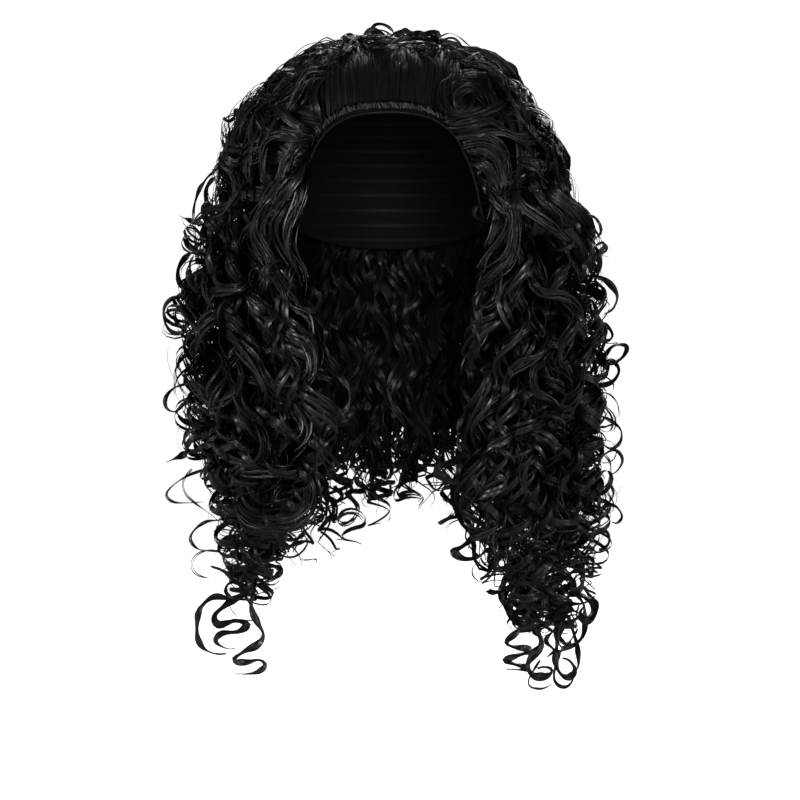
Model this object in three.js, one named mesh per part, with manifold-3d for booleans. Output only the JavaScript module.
// Long curly wig: a fitted cap with the hair sewn on it in sections.
// Millimetres, +Z up. The face opening looks along -Y, and +X is to the right in the front view.
// The origin is the point inside the cap that rests on the top of the head.

import * as THREE from "three";
import { mergeVertices } from "three/addons/utils/BufferGeometryUtils.js";
import Module from "manifold-3d";

const wasm = await Module();
wasm.setup();

const { degToRad, radToDeg, lerp, smoothstep } = THREE.MathUtils;

// Half sizes of the oval head that the cap fits; its top is the origin
const HEAD_HALF = new THREE.Vector3(76, 96, 98);
const HEAD_CENTRE = new THREE.Vector3(0, 0, -HEAD_HALF.z);

// The gap between pieces that lie together, and a length greater than the whole wig
const NODE_GAP = 0.5;
const REACH = 600;

// The cap, and the tape along its front edge from temple to temple
const CAP_WALL = 1.6;
const CAP_RINGS = 12;
const CAP_SIDES = 24;
const BAND_THICKNESS = 1.2;
const BAND_WIDTH = 6;
const BAND_BACK_END = -52;

// The cut edge of the cap in side view, from the hairline past the ear to the nape
const EDGE_STEPS_PER_ROW = 3;
const CAP_EDGE = [
  { y: -130, z: -42 },
  { y: -84, z: -43 },
  { y: -69, z: -56 },
  { y: -63, z: -80 },
  { y: -48, z: -114 },
  { y: -16, z: -116 },
  { y: 8, z: -97 },
  { y: 42, z: -120 },
  { y: 130, z: -146 },
];

// The outer form of the hair, a row for each level: an oval of these half sizes about centreY
const ENVELOPE = [
  { z: 16, halfWidth: 10, halfDepth: 10, centreY: 12 },
  { z: 12, halfWidth: 44, halfDepth: 50, centreY: 14 },
  { z: 0, halfWidth: 76, halfDepth: 82, centreY: 18 },
  { z: -22, halfWidth: 96, halfDepth: 103, centreY: 20 },
  { z: -50, halfWidth: 111, halfDepth: 115, centreY: 22 },
  { z: -80, halfWidth: 126, halfDepth: 121, centreY: 24 },
  { z: -120, halfWidth: 137, halfDepth: 123, centreY: 25 },
  { z: -200, halfWidth: 149, halfDepth: 122, centreY: 25 },
  { z: -280, halfWidth: 152, halfDepth: 118, centreY: 24 },
  { z: -340, halfWidth: 145, halfDepth: 112, centreY: 22 },
  { z: -400, halfWidth: 132, halfDepth: 104, centreY: 18 },
  { z: -452, halfWidth: 120, halfDepth: 96, centreY: 14 },
];

// The opening for the face and neck in front view: where the hair on each side begins
const FACE_TOP = -38;
const FACE_DEPTH_END = 20;
const FACE_STEPS_PER_ROW = 1.5;
const FACE_OPENING = [
  { z: -44, left: -29, right: 29 },
  { z: -57, left: -51, right: 51 },
  { z: -80, left: -60, right: 59 },
  { z: -133, left: -66, right: 63 },
  { z: -180, left: -55, right: 57 },
  { z: -215, left: -38, right: 50 },
  { z: -255, left: -30, right: 46 },
  { z: -290, left: -42, right: 48 },
  { z: -325, left: -62, right: 57 },
  { z: -360, left: -78, right: 72 },
  { z: -470, left: -90, right: 84 },
];

// Locks: tapered tubes wound as loose coils. A layer is a share of the hair's outer form.
const LOCK_SIDES = 5;
const LOCK_RADIUS = 14;
const LOCK_ROOT_SHARE = 0.6;
const LOCK_TIP_SHARE = 0.5;
const LOCK_FULL_FROM = 0.3;
const LOCK_FULL_TO = 0.7;
const LOCK_LAYER = 0.9;
const LOCK_END_ROOM = 0.5;
const EDGE_LOCK_SETBACK = 10;
const COIL_RADIUS = 8;
const COIL_PITCH = 100;
const COIL_STEPS = 4;
const PHASE_STEP = 2.1;

// The backing of straighter hair that the locks are fused to
const BACKING_OUTER = 0.82;
const BACKING_INNER = 0.54;
const BACKING_SIDES = 15;
const BACKING_SETBACK = 12;
const CROWN_TOP = 9;
const CROWN_BOTTOM = -100;
const CROWN_LEAST_COVER = 9;

// The round form that the crown's locks are combed over, and how near to it they rise
const DOME_HALF = new THREE.Vector3(125, 119, 98);
const DOME_CENTRE = new THREE.Vector3(0, 22, -90);
const ROOT_LIFT = 0.3;
const FULL_LIFT = 0.88;
const LIFT_DONE = 0.5;

// The crown's locks on one side: the root on the cap, the place where each lock turns downward,
// and how far it falls from there. Angles run round the head from the front, and heights are
// angles above the head's widest level.
const CROWN_LOCKS = [
  { rootAngle: 4, rootHeight: 38, turnAngle: 168, turnHeight: 58, fall: 40, coil: 1 },
  { rootAngle: 15, rootHeight: 38, turnAngle: 140, turnHeight: 28, fall: 66, coil: 2 },
  { rootAngle: 28, rootHeight: 37, turnAngle: 110, turnHeight: 22, fall: 76, coil: 3 },
  { rootAngle: 40, rootHeight: 33, turnAngle: 84, turnHeight: 16, fall: 82, coil: 4 },
  { rootAngle: 51, rootHeight: 27, turnAngle: 56, turnHeight: 6, fall: 62, coil: 5 },
  { rootAngle: 126, rootHeight: 58, turnAngle: 124, turnHeight: 14, fall: 62, coil: 6 },
  { rootAngle: 164, rootHeight: 56, turnAngle: 160, turnHeight: 12, fall: 74, coil: 6 },
];

// The hanging sections: the angles that each spans round the head, where its backing ends,
// its locks, and which of the tails comes first. The side hair starts at the face opening.
const SECTIONS = [
  { name: "side_hair_left", side: -1, from: 8, to: 102, bottom: -375, locks: 5, firstTail: 0 },
  { name: "side_hair_right", side: 1, from: 8, to: 102, bottom: -378, locks: 5, firstTail: 3 },
  { name: "back_hair_left", side: -1, from: 102, to: 148, bottom: -345, locks: 3, firstTail: 1 },
  { name: "back_hair_right", side: 1, from: 102, to: 148, bottom: -345, locks: 3, firstTail: 4 },
  { name: "back_hair_middle", side: 1, from: 148, to: 212, bottom: -318, locks: 4, firstTail: 2 },
];

// How far below the backing each lock ends, in turn
const LOCK_TAILS = [62, 34, 50, 68, 40, 56];

// The stops along a lock at which its path is worked out
const COMBED_STOPS = [0, 0.25, 0.5, 0.75, 1];
const FALLEN_STOPS = [0.5, 1];
const HANGING_STOPS = [0, 0.15, 0.35, 0.6, 0.8, 1];
const HANGING_OUT_BY = 0.3;

const HAIR_LOOK = { color: 0x0b0b0d, roughness: 0.4, metalness: 0 };
const NET_LOOK = { color: 0x17171a, roughness: 0.8, metalness: 0 };
const TAPE_LOOK = { color: 0x101012, roughness: 0.7, metalness: 0 };

// A closed geometry as a solid that can be joined and cut
function solidOf(geometry) {
  const plain = geometry.clone();
  plain.deleteAttribute("normal");
  plain.deleteAttribute("uv");
  const merged = mergeVertices(plain);
  const vertProperties = new Float32Array(merged.attributes.position.array);
  const triVerts = new Uint32Array(merged.index.array);
  return new wasm.Manifold(new wasm.Mesh({ numProp: 3, vertProperties, triVerts }));
}

function joined(solids) {
  return solids.reduce((whole, solid) => whole.add(solid));
}

// The largest body of a solid: pockets that the locks close off are filled, and loose scraps go
function mainBody(solid) {
  return solid.decompose().reduce((best, body) => (body.volume() > best.volume() ? body : best));
}

function namedMesh(name, solid, look) {
  const { vertProperties, triVerts } = mainBody(solid).getMesh();
  const geometry = new THREE.BufferGeometry();
  geometry.setAttribute("position", new THREE.BufferAttribute(vertProperties, 3));
  geometry.setIndex(new THREE.BufferAttribute(triVerts, 1));
  const mesh = new THREE.Mesh(geometry, new THREE.MeshStandardMaterial(look));
  mesh.name = name;
  return mesh;
}

// A flat outline pushed out along a direction; across and up say where the drawing's axes point
function pushedOutline(points, across, up, depth) {
  const shape = new THREE.Shape(points);
  const block = new THREE.ExtrudeGeometry(shape, { depth, bevelEnabled: false, steps: 1 });
  const away = new THREE.Vector3().crossVectors(across, up);
  return block.applyMatrix4(new THREE.Matrix4().makeBasis(across, up, away));
}

// The row of a table at height z, worked out between its two nearest rows
function rowAt(table, z) {
  const next = table.findIndex((row) => row.z <= z);
  if (next === 0) return table[0];
  if (next < 0) return table[table.length - 1];
  const [upper, lower] = [table[next - 1], table[next]];
  const share = (upper.z - z) / (upper.z - lower.z);
  return Object.fromEntries(Object.keys(upper).map((key) => [key, lerp(upper[key], lower[key], share)]));
}

// A point of the hair's form at an angle round the head; layer 1 is its outside
function envelopePoint(angle, z, layer) {
  const row = rowAt(ENVELOPE, z);
  const turn = degToRad(angle);
  const x = layer * row.halfWidth * Math.sin(turn);
  const y = row.centreY - layer * row.halfDepth * Math.cos(turn);
  return new THREE.Vector3(x, y, z);
}

// The hair's form as one solid between two heights, shrunk to a layer and then grown all round
function envelopeSolid(layer, top, bottom, grow) {
  const between = ENVELOPE.map((row) => row.z).filter((z) => z < top && z > bottom);
  const levels = [top, ...between, bottom];
  const last = levels.length - 1;
  const tube = new THREE.CylinderGeometry(1, 1, last, BACKING_SIDES, last);
  const places = tube.attributes.position;
  for (let i = 0; i < places.count; i++) {
    const level = Math.round(last / 2 - places.getY(i));
    const row = rowAt(ENVELOPE, levels[level]);
    const rise = (level === 0 ? grow : 0) - (level === last ? grow : 0);
    const x = places.getX(i) * (layer * row.halfWidth + grow);
    const y = row.centreY - places.getZ(i) * (layer * row.halfDepth + grow);
    places.setXYZ(i, x, y, levels[level] + rise);
  }
  return solidOf(tube);
}

// The head with a margin all round
function headSolid(margin) {
  const ball = new THREE.SphereGeometry(1, CAP_SIDES, CAP_RINGS);
  ball.rotateX(Math.PI / 2);
  ball.scale(HEAD_HALF.x + margin, HEAD_HALF.y + margin, HEAD_HALF.z + margin);
  ball.translate(HEAD_CENTRE.x, HEAD_CENTRE.y, HEAD_CENTRE.z);
  return solidOf(ball);
}

function belowLevel(z) {
  return solidOf(new THREE.BoxGeometry(REACH, REACH, REACH).translate(0, 0, z - REACH / 2));
}

// All that lies below the cap's edge when the edge is raised by a distance
function belowCapEdge(rise) {
  const line = new THREE.SplineCurve(CAP_EDGE.map(({ y, z }) => new THREE.Vector2(y, z + rise)));
  const points = line.getPoints(CAP_EDGE.length * EDGE_STEPS_PER_ROW);
  const [first, last] = [CAP_EDGE[0], CAP_EDGE[CAP_EDGE.length - 1]];
  points.push(new THREE.Vector2(last.y, -REACH), new THREE.Vector2(first.y, -REACH));
  const block = pushedOutline(points, new THREE.Vector3(0, 1, 0), new THREE.Vector3(0, 0, 1), REACH);
  return solidOf(block.translate(-REACH / 2, 0, 0));
}

// The face and neck opening widened by a margin, from the front to a little behind the ears
function faceOpening(margin) {
  const left = FACE_OPENING.map((row) => new THREE.Vector2(row.left - margin, row.z));
  const right = FACE_OPENING.map((row) => new THREE.Vector2(row.right + margin, row.z)).reverse();
  const line = new THREE.SplineCurve([...right, new THREE.Vector2(0, FACE_TOP), ...left]);
  const points = line.getPoints(2 * FACE_OPENING.length * FACE_STEPS_PER_ROW);
  const block = pushedOutline(points, new THREE.Vector3(1, 0, 0), new THREE.Vector3(0, 0, 1), REACH);
  return solidOf(block.translate(0, FACE_DEPTH_END, 0));
}

// All that lies between two angles round the head, less half the gap to its neighbours
function sectorSolid(fromAngle, toAngle) {
  const [from, to] = [degToRad(fromAngle), degToRad(toAngle)];
  const middle = (from + to) / 2;
  const inset = NODE_GAP / 2 / Math.sin((to - from) / 2);
  const apex = new THREE.Vector2(Math.sin(middle) * inset, -Math.cos(middle) * inset);
  const far = [from, middle, to].map(
    (turn) => new THREE.Vector2(apex.x + REACH * Math.sin(turn), apex.y - REACH * Math.cos(turn)),
  );
  const [across, up] = [new THREE.Vector3(1, 0, 0), new THREE.Vector3(0, 1, 0)];
  const block = pushedOutline([apex, ...far], across, up, 2 * REACH);
  return solidOf(block.translate(0, DOME_CENTRE.y, DOME_CENTRE.z - REACH));
}

// A lock: a tapered tube that winds in a loose coil about its path
function lockSolid(path, { coil, phase, hand, grow }) {
  const turns = path.getLength() / COIL_PITCH;
  const tube = new THREE.CylinderGeometry(1, 1, 1, LOCK_SIDES, Math.round(turns * COIL_STEPS));
  const places = tube.attributes.position;
  for (let i = 0; i < places.count; i++) {
    const t = 0.5 - places.getY(i);
    const place = path.getPointAt(t);
    const upward = path.getTangentAt(t).negate();
    const out = place.clone().sub(HEAD_CENTRE);
    out.setZ(Math.max(0, out.z));
    out.addScaledVector(upward, -out.dot(upward)).normalize();
    const side = new THREE.Vector3().crossVectors(out, upward);
    const filling = smoothstep(t, 0, LOCK_FULL_FROM);
    const thinning = smoothstep(t, LOCK_FULL_TO, 1);
    const share = lerp(LOCK_ROOT_SHARE, 1, filling) * lerp(1, LOCK_TIP_SHARE, thinning);
    const radius = LOCK_RADIUS * share + grow;
    const turn = hand * 2 * Math.PI * turns * t + phase;
    place.addScaledVector(out, coil * filling * Math.cos(turn) + places.getX(i) * radius);
    place.addScaledVector(side, coil * filling * Math.sin(turn) + places.getZ(i) * radius);
    places.setXYZ(i, place.x, place.y, place.z);
  }
  return solidOf(tube);
}

function direction(angle, height) {
  const [turn, rise] = [degToRad(angle), degToRad(height)];
  const level = Math.cos(rise);
  return new THREE.Vector3(Math.sin(turn) * level, -Math.cos(turn) * level, Math.sin(rise));
}

// The path of a lock that is combed over the cap and then falls over the hanging hair
function combedPath(side, { rootAngle, rootHeight, turnAngle, turnHeight, fall }) {
  const root = direction(side * rootAngle, rootHeight);
  const swing = new THREE.Quaternion().setFromUnitVectors(root, direction(side * turnAngle, turnHeight));
  const combed = COMBED_STOPS.map((t) => {
    const towards = root.clone().applyQuaternion(new THREE.Quaternion().slerp(swing, t));
    const onHead = towards.clone().multiply(HEAD_HALF).add(HEAD_CENTRE);
    const onDome = towards.clone().multiply(DOME_HALF).add(DOME_CENTRE);
    return onHead.lerp(onDome, lerp(ROOT_LIFT, FULL_LIFT, smoothstep(t, 0, LIFT_DONE)));
  });
  const turnZ = combed[combed.length - 1].z;
  const fallen = FALLEN_STOPS.map((t) => envelopePoint(side * turnAngle, turnZ - fall * t, LOCK_LAYER));
  return new THREE.CatmullRomCurve3([...combed, ...fallen]);
}

// The angle at which the hair beside the face begins at a height
function edgeAngle(side, z) {
  const { left, right } = rowAt(FACE_OPENING, z);
  const away = (side < 0 ? -left : right) + EDGE_LOCK_SETBACK;
  return radToDeg(Math.asin(away / (LOCK_LAYER * rowAt(ENVELOPE, z).halfWidth)));
}

// The path of a lock that hangs from the cap, at a share of its section's width
function hangingPath({ name, side, from, to }, share, bottom) {
  const points = HANGING_STOPS.map((t) => {
    const z = lerp(CROWN_BOTTOM, bottom, t);
    const begins = name.startsWith("side") ? edgeAngle(side, z) : from;
    const layer = lerp(BACKING_OUTER, LOCK_LAYER, smoothstep(t, 0, HANGING_OUT_BY));
    return envelopePoint(side * lerp(begins, to, share), z, layer);
  });
  return new THREE.CatmullRomCurve3(points);
}

function capSolid() {
  const shell = headSolid(CAP_WALL).subtract(headSolid(0));
  return shell.subtract(belowCapEdge(0));
}

// The tape lies on the outside of the cap along the hairline and down to the temples
function hairlineBand() {
  const underside = headSolid(CAP_WALL + NODE_GAP);
  const tape = headSolid(CAP_WALL + NODE_GAP + BAND_THICKNESS).subtract(underside);
  const strip = belowCapEdge(BAND_WIDTH).subtract(belowCapEdge(0));
  const back = new THREE.BoxGeometry(REACH, REACH, REACH).translate(0, BAND_BACK_END + REACH / 2, 0);
  return tape.intersect(strip).subtract(solidOf(back));
}

// The hair combed up from the hairline and back over the top of the head
function crownHair(grow) {
  const form = envelopeSolid(BACKING_OUTER, CROWN_TOP, CROWN_BOTTOM, grow);
  const overCap = headSolid(CROWN_LEAST_COVER + grow).subtract(belowLevel(CROWN_BOTTOM - grow));
  const locks = CROWN_LOCKS.flatMap((row, index) =>
    [-1, 1].map((side) => {
      const phase = PHASE_STEP * index + side;
      return lockSolid(combedPath(side, row), { coil: row.coil, phase, hand: side, grow });
    }),
  );
  return joined([form, overCap, ...locks]);
}

// The straighter hair behind the locks of the hanging sections
function backingSolid(bottom) {
  const outside = envelopeSolid(BACKING_OUTER, CROWN_BOTTOM, bottom, 0);
  return outside.subtract(envelopeSolid(BACKING_INNER, CROWN_BOTTOM, bottom, 1));
}

// The locks of one hanging section, side by side, wound to the left and right in turn
function hungLocks(section) {
  return Array.from({ length: section.locks }, (_, index) => {
    const tail = LOCK_TAILS[(index + section.firstTail) % LOCK_TAILS.length];
    const share = (index + LOCK_END_ROOM) / (section.locks - 1 + 2 * LOCK_END_ROOM);
    const path = hangingPath(section, share, section.bottom - tail);
    const hand = index % 2 ? 1 : -1;
    return lockSolid(path, { coil: COIL_RADIUS, phase: PHASE_STEP * index, hand, grow: 0 });
  });
}

const capRoom = headSolid(CAP_WALL + 2 * NODE_GAP + BAND_THICKNESS);
const crownRoom = crownHair(NODE_GAP);
const face = faceOpening(0);
const backingFace = faceOpening(BACKING_SETBACK);

const wig = new THREE.Group();
wig.name = "curly_wig";
wig.add(namedMesh("cap", capSolid(), NET_LOOK));
wig.add(namedMesh("hairline_band", hairlineBand(), TAPE_LOOK));
wig.add(namedMesh("crown_hair", crownHair(0).subtract(capRoom).subtract(face), HAIR_LOOK));

for (const section of SECTIONS) {
  const { name, side, from, to, bottom } = section;
  const sector = side < 0 ? sectorSolid(-to, -from) : sectorSolid(from, to);
  const backing = backingSolid(bottom).subtract(backingFace);
  const hair = joined([backing, ...hungLocks(section)]).intersect(sector);
  wig.add(namedMesh(name, hair.subtract(crownRoom).subtract(capRoom).subtract(face), HAIR_LOOK));
}

export default wig;
